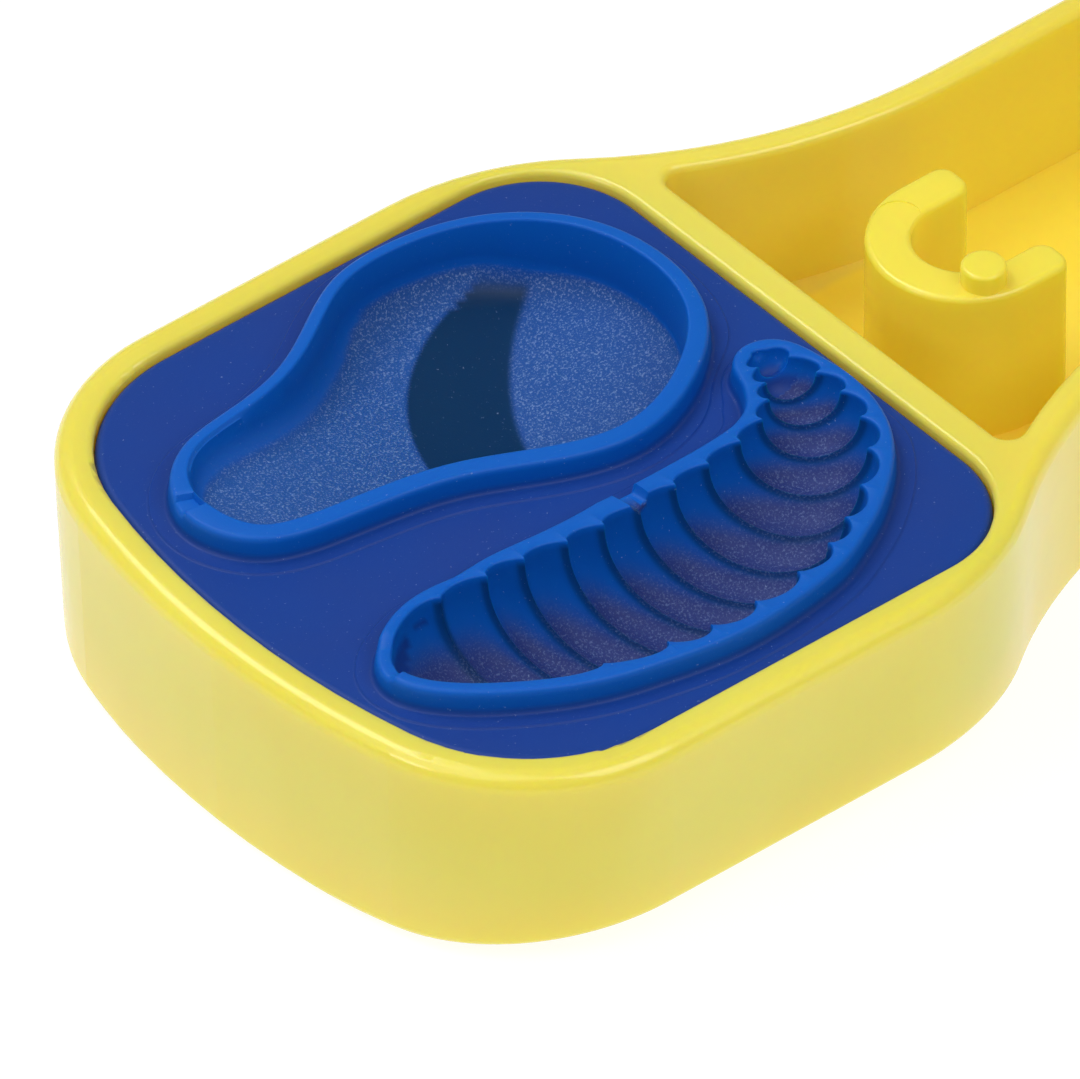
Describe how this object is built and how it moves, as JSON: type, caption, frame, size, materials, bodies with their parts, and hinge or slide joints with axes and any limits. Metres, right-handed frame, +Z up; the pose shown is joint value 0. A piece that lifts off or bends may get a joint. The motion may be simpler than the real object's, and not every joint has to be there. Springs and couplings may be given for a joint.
{
  "type": "two-arm moulding tongs",
  "caption": "Hand-held two-arm moulding tongs: sprung rear hinge, tray heads with soft mould inserts, a guide post and channel-section handles.",
  "frame": {"origin": "on the flat underside of the lower arm, below the middle of its mould insert", "axes": "+X from the moulds towards the hinge along the lower arm, +Y across, +Z up out of the lower tray"},
  "size_m": [0.1268, 0.0374, 0.0941],
  "materials": {
    "arm_plastic": "glossy yellow moulded plastic",
    "mould_rubber": "translucent blue soft moulding rubber with a satin surface",
    "pad_rubber": "matt blue soft rubber",
    "pin_steel": "bright plated steel",
    "bearing_plastic": "natural white bearing plastic",
    "spring_steel": "drawn spring wire"
  },
  "bodies": {
    "lower": {"lower_arm": "arm_plastic", "lower_mould": "mould_rubber", "lower_grip_pad": "pad_rubber", "hinge_pin": "pin_steel", "pin_cap": "pin_steel", "spring_bush": "bearing_plastic", "hinge_washer_left": "bearing_plastic", "hinge_washer_right": "bearing_plastic", "torsion_spring": "spring_steel"},
    "upper": {"upper_arm": "arm_plastic", "upper_mould": "mould_rubber", "upper_grip_pad": "pad_rubber"}
  },
  "joints": [
    {"name": "arm_hinge", "type": "hinge", "parent": "lower", "child": "upper", "pos_m": [0.098, 0, 0.011], "axis": [0, 1, 0], "range_deg": [-40, 0], "stiffness_Nm_per_rad": 0.15, "springref_deg": 28.65, "deforming": ["torsion_spring"]}
  ]
}
